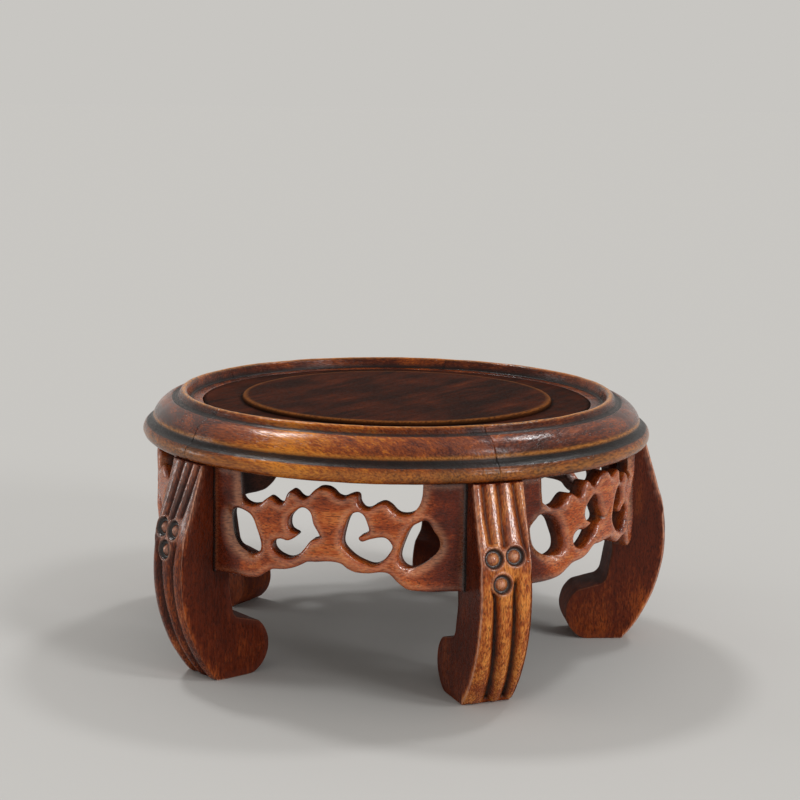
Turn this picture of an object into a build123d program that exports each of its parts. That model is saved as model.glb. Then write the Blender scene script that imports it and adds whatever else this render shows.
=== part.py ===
from build123d import *

import os
from math import asin, cos, radians, sin, sqrt

# Round display stand of carved hardwood. All sizes are millimetres. The origin is on the stand's
# axis at floor level, +Z is up, and leg 1 faces -Y.

# Whole stand
leg_count = 5
stand_height = 75.4
ring_radius = 75.0

# Ring frame: a moulded rim in arc segments, butted end to end over the legs
ring_thickness = 13.6
ring_width = 17.5
bead_radius = 2.4
bead_turn = 70.0
cove_height = 1.9
cove_run = 1.4
cove_hollow = 0.25
shoulder_bulge = 0.8
lip_inset = 11.8
lip_width = 2.4
lip_crown = 0.9
lip_cove_run = 1.8
lip_cove_drop = 1.6
lip_cove_hollow = 0.3
shoulder_run = 0.7
shoulder_rise = 0.4
dish_depth = 3.1
dish_wall_lean = 0.8

# Panel: floats in a groove round the bore of the ring
panel_thickness = 5.8
panel_tongue_length = 3.0
panel_tongue_thickness = 2.2
panel_tongue_rise = 1.6
field_margin = 11.5
field_rise = 1.25
field_edge_run = 1.0

# Legs: sawn to a bowed side profile, with a tenon up into the ring
leg_width = 14.5
leg_setback = 1.0
leg_straight_drop = 17.3
leg_flare = 5.4
leg_head_depth = 11.5
sole_setback = 5.3
sole_length = 12.7
curl_reach = 5.4
curl_middle = 7.6
curl_top_reach = 1.9
curl_height = 15.2
neck_height = 17.6
neck_setback = 11.5
neck_corner_radius = 2.5
shank_height = 27.0
shank_setback = 9.8
tenon_width = 7.0
tenon_depth = 6.0
tenon_height = 4.5
tenon_inset = 3.5

# Carving on the front of the legs: reeds and punched rosettes
reed_groove_width = 1.6
reed_groove_depth = 0.9
lower_reed_pitch = 5.6
upper_reed_pitch = 4.3
reed_end_gap = 0.4
rosette_radius = 2.9
rosette_boss_radius = 1.75
rosette_depth = 0.9
rosette_spread = 3.1
rosette_pair_run = 19.4
rosette_single_run = 26.2

# Aprons: curved boards under the ring, tongued into the legs and fretted
apron_setback = 4.0
apron_thickness = 5.0
apron_height = 30.0
apron_end_land = 6.5
apron_tongue_length = 2.0
apron_tongue_thickness = 2.0
apron_tongue_margin = 2.0
apron_tongue_root = 1.0

# Loose tongues across the ring joints, and bamboo pins from aprons to ring
spline_length = 14.0
spline_width = 6.0
spline_thickness = 2.0
spline_rise = 5.8
spline_inset = 8.5
pin_radius = 1.2
pin_in_apron = 7.0
pin_in_ring = 4.5
pin_from_leg = 3.2

# Clearance of a hidden joint, on each side
joint_clearance = 0.1

# Levels and radii that follow from the sizes above
leg_pitch = 360 / leg_count
ring_base = stand_height - ring_thickness
land_height = stand_height - dish_depth
panel_base = land_height - panel_thickness
tongue_base = panel_base + panel_tongue_rise
ring_bore_radius = ring_radius - ring_width
lip_radius = ring_radius - lip_inset
field_radius = ring_bore_radius - field_margin
leg_front = ring_radius - leg_setback
tenon_middle = leg_front - tenon_inset - tenon_depth / 2
spline_radius = ring_radius - spline_inset
sole_front = ring_radius - sole_setback
sole_back = sole_front - sole_length
apron_outer = ring_radius - apron_setback
apron_inner = apron_outer - apron_thickness
apron_middle = apron_outer - apron_thickness / 2
apron_base = ring_base - apron_height
half_leg = leg_width / 2

# Side-on plane through leg 1: its x runs outward from the axis and its y runs up
leg_plane = Plane(origin=(0, 0, 0), x_dir=(0, -1, 0), z_dir=(-1, 0, 0))


def plan(height, azimuth=0.0):
    """Level plane whose y runs outward at an azimuth, counted from leg 1 towards +X."""
    turn = radians(azimuth)
    return Plane(origin=(0, 0, height), x_dir=(-cos(turn), -sin(turn), 0), z_dir=(0, 0, 1))


def export_round(piece, name):
    """Write one copy of a piece for each leg, turned about the stand's axis."""
    for place in range(leg_count):
        turned = piece.rotate(Axis.Z, place * leg_pitch)
        turned.label = f"{name}_{place + 1}"
        export_step(turned, f"parts/{turned.label}.step")


def apron_spot(radius, from_leg):
    """Point on an apron, seen in plan from its middle, at a distance from the leg's side."""
    angle = radians(leg_pitch / 2) - asin((half_leg + from_leg) / radius)
    return radius * sin(angle), radius * cos(angle)


# Ring segment: it starts on the centre line of leg 1 and runs to that of leg 2
with BuildPart() as ring_segment:
    with BuildSketch(leg_plane):
        with BuildLine():
            bead_axis = ring_radius - bead_radius
            bead_height = ring_base + bead_radius
            quirk_run = bead_radius * cos(radians(bead_turn))
            quirk_rise = bead_radius * sin(radians(bead_turn))
            quirk = (bead_axis + quirk_run, bead_height + quirk_rise)
            cove_top = (quirk[0] - cove_run, quirk[1] + cove_height)
            lip_out = (lip_radius + lip_width / 2, stand_height - lip_crown)
            lip_in = (lip_radius - lip_width / 2, stand_height - lip_crown)
            lip_foot = (lip_out[0] + lip_cove_run, lip_out[1] - lip_cove_drop)
            shoulder_top = (lip_foot[0] + shoulder_run, lip_foot[1] + shoulder_rise)
            groove_top = tongue_base + panel_tongue_thickness + 2 * joint_clearance
            groove_floor = ring_bore_radius + panel_tongue_length
            Line((ring_bore_radius, ring_base), (bead_axis, ring_base))
            ThreePointArc((bead_axis, ring_base), (ring_radius, bead_height), quirk)
            SagittaArc(quirk, cove_top, cove_hollow)
            SagittaArc(cove_top, shoulder_top, -shoulder_bulge)
            Line(shoulder_top, lip_foot)
            SagittaArc(lip_foot, lip_out, lip_cove_hollow)
            ThreePointArc(lip_out, (lip_radius, stand_height), lip_in)
            Polyline(
                lip_in,
                (lip_in[0] - dish_wall_lean, land_height),
                (ring_bore_radius, land_height),
                (ring_bore_radius, groove_top),
                (groove_floor, groove_top),
                (groove_floor, tongue_base),
                (ring_bore_radius, tongue_base),
                (ring_bore_radius, ring_base),
            )
        make_face()
    revolve(axis=Axis.Z, revolution_arc=leg_pitch)
    for joint_azimuth in (0, leg_pitch):
        # Half of the mortise for the leg's tenon
        with BuildSketch(plan(ring_base, joint_azimuth)):
            with Locations((0, tenon_middle)):
                Rectangle(tenon_width + 2 * joint_clearance, tenon_depth + 2 * joint_clearance)
        extrude(amount=tenon_height + joint_clearance, mode=Mode.SUBTRACT)
        # Half of the slot for the loose tongue
        with BuildSketch(plan(ring_base + spline_rise, joint_azimuth)):
            with Locations((0, spline_radius)):
                Rectangle(spline_length + 2 * joint_clearance, spline_width + 2 * joint_clearance)
        extrude(amount=spline_thickness + joint_clearance, mode=Mode.SUBTRACT)
    # Blind holes for the pins of the apron below
    pin_across, pin_out = apron_spot(apron_middle, pin_from_leg)
    with BuildSketch(plan(ring_base, leg_pitch / 2)):
        with Locations((-pin_across, pin_out), (pin_across, pin_out)):
            Circle(pin_radius + joint_clearance / 2)
    extrude(amount=pin_in_ring + joint_clearance, mode=Mode.SUBTRACT)

# Loose tongue that keeps two ring segments in line
with BuildPart() as ring_spline:
    with BuildSketch(plan(ring_base + spline_rise)):
        with Locations((0, spline_radius)):
            Rectangle(spline_length, spline_width)
    extrude(amount=spline_thickness)

# Panel: raised round field, sunk margin flush with the ring's land, tongue round the edge
with BuildPart() as centre_panel:
    with BuildSketch(leg_plane):
        with BuildLine():
            panel_edge = ring_bore_radius - joint_clearance
            tongue_edge = ring_bore_radius + panel_tongue_length - 2 * joint_clearance
            tongue_top = tongue_base + panel_tongue_thickness
            field_top = land_height + field_rise
            Polyline(
                (0, field_top),
                (0, panel_base),
                (panel_edge, panel_base),
                (panel_edge, tongue_base),
                (tongue_edge, tongue_base),
                (tongue_edge, tongue_top),
                (panel_edge, tongue_top),
                (panel_edge, land_height),
                (field_radius, land_height),
            )
            field_edge = (field_radius - field_edge_run, field_top)
            TangentArc((field_radius, land_height), field_edge, tangent=(0, 1))
            Line(field_edge, (0, field_top))
        make_face()
    revolve(axis=Axis.Z)

# Leg 1
with BuildPart() as leg:
    head = (leg_front, ring_base)
    knee = (leg_front + leg_flare, ring_base - leg_straight_drop)
    neck = (ring_radius - neck_setback, neck_height)
    with BuildSketch(leg_plane) as leg_side:
        with BuildLine():
            upper_front = Line(head, knee)
            lower_front = TangentArc(knee, (sole_front, 0), tangent=(leg_flare, -leg_straight_drop))
            Line((sole_front, 0), (sole_back, 0))
            curl_top = (sole_back - curl_top_reach, curl_height)
            ThreePointArc((sole_back, 0), (sole_back - curl_reach, curl_middle), curl_top)
            Polyline(
                curl_top,
                neck,
                (ring_radius - shank_setback, shank_height),
                (leg_front - leg_head_depth, ring_base),
                head,
            )
        make_face()
        fillet(leg_side.vertices().sort_by_distance(neck)[0], neck_corner_radius)
    extrude(amount=half_leg, both=True)
    # Tenon on the head
    with BuildSketch(plan(ring_base)):
        with Locations((0, tenon_middle)):
            Rectangle(tenon_width, tenon_depth)
    extrude(amount=tenon_height)
    # Grooves in both sides for the end tongues of the aprons
    groove_length = apron_tongue_length + joint_clearance
    tongue_out = sqrt(apron_middle**2 - half_leg**2)
    with BuildSketch(plan(apron_base + apron_tongue_margin)):
        with Locations(
            (-half_leg + groove_length / 2, tongue_out), (half_leg - groove_length / 2, tongue_out)
        ):
            Rectangle(groove_length, apron_tongue_thickness + 2 * joint_clearance)
    extrude(amount=apron_height - 2 * apron_tongue_margin + joint_clearance, mode=Mode.SUBTRACT)
    # Grooves between the reeds: two from the floor up to the rosettes, three from there to the head
    groove_head = (leg_front - reed_groove_depth, ring_base)
    groove_knee = (knee[0] - reed_groove_depth, knee[1])
    groove_sole = (sole_front - reed_groove_depth, 0)
    clear_of_leg = ring_radius + leg_width
    front_line = Wire([upper_front, lower_front])
    upper_reed_run = rosette_pair_run - rosette_radius - reed_end_gap
    lower_reed_run = rosette_single_run + rosette_radius + reed_end_gap
    upper_reed_base = front_line.position_at(upper_reed_run, position_mode=PositionMode.LENGTH).Y
    lower_reed_top = front_line.position_at(lower_reed_run, position_mode=PositionMode.LENGTH).Y
    reed_grooves = [
        (-lower_reed_pitch / 2, 0, lower_reed_top),
        (lower_reed_pitch / 2, 0, lower_reed_top),
        (-upper_reed_pitch, upper_reed_base, ring_base),
        (0, upper_reed_base, ring_base),
        (upper_reed_pitch, upper_reed_base, ring_base),
    ]
    for across, low, high in reed_grooves:
        with BuildSketch(leg_plane.offset(across - reed_groove_width / 2)):
            with BuildLine():
                Line(groove_head, groove_knee)
                TangentArc(groove_knee, groove_sole, tangent=(leg_flare, -leg_straight_drop))
                Polyline(groove_sole, (clear_of_leg, 0), (clear_of_leg, ring_base), groove_head)
            make_face()
            with Locations((ring_radius, (low + high) / 2)):
                Rectangle(clear_of_leg, high - low, mode=Mode.INTERSECT)
        extrude(amount=reed_groove_width, mode=Mode.SUBTRACT)
    # Rosettes: a punched ring round a small boss, square to the bowed front where it is punched
    rosettes = [
        (-rosette_spread, rosette_pair_run),
        (rosette_spread, rosette_pair_run),
        (0, rosette_single_run),
    ]
    for across, run in rosettes:
        spot = front_line.position_at(run, position_mode=PositionMode.LENGTH)
        down = front_line.tangent_at(run, position_mode=PositionMode.LENGTH)
        centre = (across, -spot.X, spot.Y)
        with BuildSketch(Plane(origin=centre, x_dir=(1, 0, 0), z_dir=(0, down.Y, down.X))):
            Circle(rosette_radius)
            Circle(rosette_boss_radius, mode=Mode.SUBTRACT)
        extrude(amount=-rosette_depth, mode=Mode.SUBTRACT)

# Apron between leg 1 and leg 2, drawn from its middle. Its ends lie on the sides of the legs.
outer_end = apron_spot(apron_outer, 0)
inner_end = apron_spot(apron_inner, 0)
fret_half_width = outer_end[0] - apron_end_land
middle_azimuth = leg_pitch / 2
middle_turn = radians(middle_azimuth)
fret_plane = Plane(
    origin=(0, 0, apron_base),
    x_dir=(cos(middle_turn), sin(middle_turn), 0),
    z_dir=(sin(middle_turn), -cos(middle_turn), 0),
)


def fret(points):
    """Points drawn on a unit field, 1 across at the outer hole's edge and 1 up at the ring."""
    return [(across * fret_half_width, up * apron_height) for across, up in points]


with BuildPart() as apron:
    with BuildSketch(plan(apron_base, middle_azimuth)):
        with BuildLine():
            ThreePointArc((-outer_end[0], outer_end[1]), (0, apron_outer), outer_end)
            Line(outer_end, inner_end)
            ThreePointArc(inner_end, (0, apron_inner), (-inner_end[0], inner_end[1]))
            Line((-inner_end[0], inner_end[1]), (-outer_end[0], outer_end[1]))
        make_face()
    extrude(amount=apron_height)
    # End tongues, on the frames of the two legs
    for side, azimuth in ((-1, 0), (1, leg_pitch)):
        tongue_middle = side * (half_leg - (apron_tongue_length - apron_tongue_root) / 2)
        with BuildSketch(plan(apron_base + apron_tongue_margin, azimuth)):
            with Locations((tongue_middle, tongue_out)):
                Rectangle(apron_tongue_length + apron_tongue_root, apron_tongue_thickness)
        extrude(amount=apron_height - 2 * apron_tongue_margin)
    # Leaf holes at the ends and comma holes in the middle, sawn straight through
    leaf = fret([(0.88, 0.68), (1.0, 0.53), (0.93, 0.34), (0.75, 0.21), (0.64, 0.31), (0.7, 0.52)])
    comma = fret(
        [
            (0.28, 0.47),
            (0.36, 0.44),
            (0.47, 0.475),
            (0.57, 0.43),
            (0.58, 0.33),
            (0.49, 0.23),
            (0.35, 0.225),
            (0.19, 0.31),
            (0.1, 0.46),
            (0.13, 0.63),
            (0.24, 0.725),
            (0.345, 0.68),
            (0.38, 0.6),
            (0.335, 0.52),
        ]
    )
    with BuildSketch(fret_plane):
        with BuildLine():
            Spline(*leaf, periodic=True)
        make_face()
        with BuildLine():
            Spline(*comma)
            Line(comma[-1], comma[0])
        make_face()
        mirror(about=Plane.YZ)
    extrude(amount=ring_radius, mode=Mode.SUBTRACT)
    # Open cloud edge: a crest in the middle, two lobes a side between scallops, and an end wall
    with BuildSketch(fret_plane):
        with BuildLine():
            crest, step = fret([(0, 0.92), (0.11, 0.905)])
            scallop_1, lobe_start = fret([(0.18, 0.825), (0.25, 0.855)])
            lobe_crown, lobe_end = fret([(0.305, 0.885), (0.355, 0.845)])
            scallop_2, swell_start = fret([(0.405, 0.73), (0.475, 0.755)])
            swell_crown, swell_end = fret([(0.545, 0.8), (0.625, 0.765)])
            scallop_3, wall = fret([(0.735, 0.73), (0.85, 0.81)])
            Line(crest, step)
            ThreePointArc(step, scallop_1, lobe_start)
            ThreePointArc(lobe_start, lobe_crown, lobe_end)
            ThreePointArc(lobe_end, scallop_2, swell_start)
            ThreePointArc(swell_start, swell_crown, swell_end)
            ThreePointArc(swell_end, scallop_3, wall)
            Polyline(wall, (wall[0], apron_height), (0, apron_height), crest)
        make_face()
        mirror(about=Plane.YZ)
    extrude(amount=ring_radius, mode=Mode.SUBTRACT)
    # Lower edge: a shallow arch in the middle, a lobe each side, and an ogee to the ends
    with BuildSketch(fret_plane):
        with BuildLine():
            arch, arch_end, lobe, cusp, foot, end = fret(
                [(0, 0.245), (0.13, 0.24), (0.29, 0.18), (0.55, 0.18), (0.69, 0.045), (0.95, 0)]
            )
            ogee_1, lobe_low, ogee_2 = fret([(0.21, 0.2), (0.42, 0.155), (0.6, 0.09)])
            Line(arch, arch_end)
            ThreePointArc(arch_end, ogee_1, lobe)
            ThreePointArc(lobe, lobe_low, cusp)
            ThreePointArc(cusp, ogee_2, foot)
            Polyline(foot, end, (0, 0), arch)
        make_face()
        mirror(about=Plane.YZ)
    extrude(amount=ring_radius, mode=Mode.SUBTRACT)
    # Blind holes for the two bamboo pins
    with BuildSketch(plan(ring_base, middle_azimuth)):
        with Locations((-pin_across, pin_out), (pin_across, pin_out)):
            Circle(pin_radius + joint_clearance / 2)
    extrude(amount=-pin_in_apron - joint_clearance, mode=Mode.SUBTRACT)

# Bamboo pins from the aprons into the ring, all alike
with BuildPart() as apron_pins:
    for place in range(leg_count):
        with BuildSketch(plan(ring_base - pin_in_apron, middle_azimuth + place * leg_pitch)):
            with Locations((-pin_across, pin_out), (pin_across, pin_out)):
                Circle(pin_radius)
        extrude(amount=pin_in_apron + pin_in_ring)

os.makedirs("parts", exist_ok=True)
export_round(ring_segment.part, "ring_segment")
export_round(ring_spline.part, "ring_spline")
export_round(leg.part, "leg")
export_round(apron.part, "apron")
centre_panel.part.label = "centre_panel"
export_step(centre_panel.part, "parts/centre_panel.step")
apron_pins.part.label = "apron_pins"
export_step(apron_pins.part, "parts/apron_pins.step")
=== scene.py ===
import math

import bpy
import numpy as np
from mathutils import Matrix, Vector, noise
from mathutils.geometry import delaunay_2d_cdt


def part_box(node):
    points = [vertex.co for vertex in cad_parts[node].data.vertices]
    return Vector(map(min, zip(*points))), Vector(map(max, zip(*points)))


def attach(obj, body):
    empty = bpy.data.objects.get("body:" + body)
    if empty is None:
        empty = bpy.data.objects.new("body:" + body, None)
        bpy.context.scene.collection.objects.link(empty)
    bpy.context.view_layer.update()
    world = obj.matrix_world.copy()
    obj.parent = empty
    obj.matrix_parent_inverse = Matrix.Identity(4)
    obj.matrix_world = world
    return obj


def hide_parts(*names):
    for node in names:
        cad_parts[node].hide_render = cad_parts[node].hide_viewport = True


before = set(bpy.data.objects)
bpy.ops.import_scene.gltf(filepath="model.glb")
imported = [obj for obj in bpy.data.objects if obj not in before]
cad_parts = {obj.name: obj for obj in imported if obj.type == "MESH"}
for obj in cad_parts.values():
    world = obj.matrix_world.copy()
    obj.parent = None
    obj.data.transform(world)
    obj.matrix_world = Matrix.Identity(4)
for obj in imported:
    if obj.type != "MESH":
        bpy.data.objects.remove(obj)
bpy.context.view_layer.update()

# Studio. A pale floor under an even pale surround, with two soft lamps in front, a weak one low on
# the left and two behind, so that the waxed wood shows its colour and takes highlights.
floor_size = 24.0
floor_hex = "#c0bfbd"
surround_hex = "#c8c6c2"
# Each lamp: bearing from -Y and height in degrees, its width in degrees, and its strength
soft_lamps = [
    ("front_key", 36, 46, 11, 0.48),
    ("front_low", 26, 18, 12, 0.68),
    ("side_left", -124, 10, 16, 0.26),
    ("back_left", -163, 57, 8, 0.72),
    ("back_right", 112, 55, 8, 0.54),
]


def linear(hex_colour):
    """An sRGB hex colour as linear red, green, blue and alpha."""
    shares = [int(hex_colour[i : i + 2], 16) / 255 for i in (1, 3, 5)]
    return [s / 12.92 if s <= 0.04045 else ((s + 0.055) / 1.055) ** 2.4 for s in shares] + [1.0]


def add(tree, kind, inputs=None, **settings):
    """Add a node, set its settings, and give each named input a value or a link."""
    node = tree.nodes.new(kind)
    for name, value in settings.items():
        setattr(node, name, value)
    for name, value in (inputs or {}).items():
        if isinstance(value, bpy.types.NodeSocket):
            tree.links.new(value, node.inputs[name])
        else:
            node.inputs[name].default_value = value
    return node


bpy.context.scene.view_settings.view_transform = "Standard"
world = bpy.data.worlds.new("pale_surround")
bpy.context.scene.world = world
world.use_nodes = True
world.node_tree.nodes.clear()
pale = add(world.node_tree, "ShaderNodeBackground", {"Color": linear(surround_hex), "Strength": 1.0})
add(world.node_tree, "ShaderNodeOutputWorld", {"Surface": pale.outputs[0]})

floor_mesh = bpy.data.meshes.new("floor")
half_floor = floor_size / 2
floor_mesh.from_pydata(
    [(x, y, 0) for x, y in ((-1, -1), (1, -1), (1, 1), (-1, 1))], [], [(0, 1, 2, 3)]
)
floor = bpy.data.objects.new("floor", floor_mesh)
floor.scale = (half_floor, half_floor, 1)
bpy.context.scene.collection.objects.link(floor)
floor_paint = bpy.data.materials.new("matt_studio_paint")
floor_paint.use_nodes = True
floor_paint.node_tree.nodes.clear()
paint = add(
    floor_paint.node_tree,
    "ShaderNodeBsdfPrincipled",
    {"Base Color": linear(floor_hex), "Roughness": 0.9, "Specular IOR Level": 0.0},
)
add(floor_paint.node_tree, "ShaderNodeOutputMaterial", {"Surface": paint.outputs[0]})
floor_mesh.materials.append(floor_paint)

for name, bearing, height, width, strength in soft_lamps:
    bearing, height = math.radians(bearing), math.radians(height)
    level = math.cos(height)
    place = Vector((math.sin(bearing) * level, -math.cos(bearing) * level, math.sin(height)))
    light = bpy.data.lights.new(name, "SUN")
    light.angle = math.radians(width)
    light.energy = strength
    lamp = bpy.data.objects.new(name, light)
    lamp.location = place
    lamp.rotation_euler = (-place).to_track_quat("-Z", "Y").to_euler()
    bpy.context.scene.collection.objects.link(lamp)

# Camera, at the photograph's viewing angle: a little above the stand, with leg 1 turned to the
# right of the middle.
camera_distance = 0.5445
camera_height = 0.1644
camera_turn = math.radians(-21.51)
camera_yaw = 0.0017
camera_pitch = 0.1685
camera_roll = 0.0158
camera_data = bpy.data.cameras.new("camera")
camera_data.sensor_width = 36.0
camera_data.lens = 83.29
camera = bpy.data.objects.new("camera", camera_data)
camera.matrix_world = (
    Matrix.Rotation(camera_turn, 4, "Z")
    @ Matrix.Translation((0, -camera_distance, camera_height))
    @ Matrix.Rotation(-camera_yaw, 4, "Z")
    @ Matrix.Rotation(math.pi / 2 - camera_pitch, 4, "X")
    @ Matrix.Rotation(camera_roll, 4, "Z")
)
bpy.context.scene.collection.objects.link(camera)
bpy.context.scene.camera = camera

# Ring segments. Five arcs of dense brown hardwood, sawn from straight boards, butted over the
# legs, run with a moulding plane and scraper, then waxed. Dark wax has stayed in both coves.
mm = 0.001
leg_count = 5
leg_pitch = math.tau / leg_count
ring_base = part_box("ring_segment_1")[0].z / mm
ring_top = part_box("ring_segment_1")[1].z / mm
ring_bore = 57.5
bead_axis, bead_nose = 72.6, 75.0
bead_height = ring_base + 2.4
quirk = (73.42, ring_base + 4.66)
cove_top = (72.02, ring_base + 6.56)
shoulder_top = (66.9, ring_top - 2.1)
lip_foot = (66.2, ring_top - 2.5)
lip_out, lip_crest, lip_in = (64.4, ring_top - 0.9), (63.2, ring_top), (62.0, ring_top - 0.9)
land = ring_top - 3.1
dish_corner = (61.2, land)
panel_base = land - 5.8
groove_low, groove_high, groove_floor = panel_base + 1.6, panel_base + 4.0, 60.5
profile_step, profile_ease = 0.24, 0.13
along_step = 0.62
joint_gap = 0.012
joint_ease, joint_ease_depth = 0.3, 0.05
# How golden each segment's board is at its start, in its middle and at its end, and how far its
# grain runs off the chord, in degrees
segment_gold = ((0.32, 0.38, 0.3), (0.38, 0.44, 0.36), (0.34, 0.36, 0.32), (0.36, 0.5, 0.3), (0.34, 0.86, 0.34))
segment_skew = (6, -9, 4, -12, 24)


def arc(start, middle, end, steps=24):
    """Points on the circle through three points, from the first to just before the last."""
    (ax, ay), (bx, by), (cx, cy) = start, middle, end
    d = 2 * (ax * (by - cy) + bx * (cy - ay) + cx * (ay - by))
    a2, b2, c2 = ax * ax + ay * ay, bx * bx + by * by, cx * cx + cy * cy
    ox = (a2 * (by - cy) + b2 * (cy - ay) + c2 * (ay - by)) / d
    oy = (a2 * (cx - bx) + b2 * (ax - cx) + c2 * (bx - ax)) / d
    turns = np.unwrap([math.atan2(y - oy, x - ox) for x, y in (start, middle, end)])
    radius = math.hypot(ax - ox, ay - oy)
    angles = np.linspace(turns[0], turns[2], steps, endpoint=False)
    return [(ox + radius * math.cos(t), oy + radius * math.sin(t)) for t in angles]


def bulge(start, end, rise):
    """A shallow arc between two points that rises to the left of its travel."""
    run = np.subtract(end, start)
    left = np.array([-run[1], run[0]]) / np.hypot(*run)
    return arc(start, tuple(np.add(start, end) / 2 + left * rise), end)


def ease(outline, step, radius):
    """A closed outline at an even step, with its corners eased as hand work eases them."""
    closed = np.vstack([outline, outline[:1]])
    run = np.concatenate([[0], np.cumsum(np.hypot(*np.diff(closed, axis=0).T))])
    at = np.linspace(0, run[-1], int(run[-1] / step), endpoint=False)
    even = np.column_stack([np.interp(at, run, closed[:, k]) for k in (0, 1)])
    reach = max(1, int(3 * radius / step))
    shifts = np.arange(-reach, reach + 1)
    weights = np.exp(-0.5 * (shifts * step / radius) ** 2)
    weights /= weights.sum()
    return sum(w * np.roll(even, s, axis=0) for w, s in zip(weights, shifts))


def outward(outline):
    """Unit normals of a closed outline, pointing out of it."""
    run = np.roll(outline, -1, axis=0) - np.roll(outline, 1, axis=0)
    area = np.sum(outline[:, 0] * np.roll(outline[:, 1], -1) - np.roll(outline[:, 0], -1) * outline[:, 1])
    normal = np.column_stack([run[:, 1], -run[:, 0]]) * np.sign(area)
    return normal / np.hypot(*normal.T)[:, None]


def near(points, spot, reach):
    """1 at a spot, falling smoothly to 0 away from it."""
    return np.exp(-np.sum((points - np.array(spot)) ** 2, axis=1) / (2 * reach**2))


def uneven(points, size, seed):
    """Smooth unevenness from about -1 to 1, with lumps of a size in millimetres."""
    shift = Vector((seed * 17.3, seed * 5.1, seed * 9.7))
    return np.array([noise.noise(Vector(p) / size + shift) for p in points])


def smooth_step(value, low, high):
    share = np.clip((value - low) / (high - low), 0, 1)
    return share * share * (3 - 2 * share)


def make_piece(name, points, faces, material, slot, nodes, **fields):
    """A smooth-shaded piece from points in millimetres, with its fields kept on the points."""
    mesh = bpy.data.meshes.new(name)
    mesh.from_pydata((np.asarray(points) * mm).tolist(), [], faces)
    for field, values in fields.items():
        wide = values.ndim == 2
        layer = mesh.attributes.new(field, "FLOAT_VECTOR" if wide else "FLOAT", "POINT")
        layer.data.foreach_set("vector" if wide else "value", values.astype(np.float32).ravel())
    mesh.validate()
    mesh.shade_smooth()
    mesh.set_sharp_from_angle(angle=math.radians(55))
    mesh.materials.append(material)
    piece = bpy.data.objects.new(name, mesh)
    bpy.context.scene.collection.objects.link(piece)
    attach(piece, "root")
    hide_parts(*nodes)
    return piece


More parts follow.
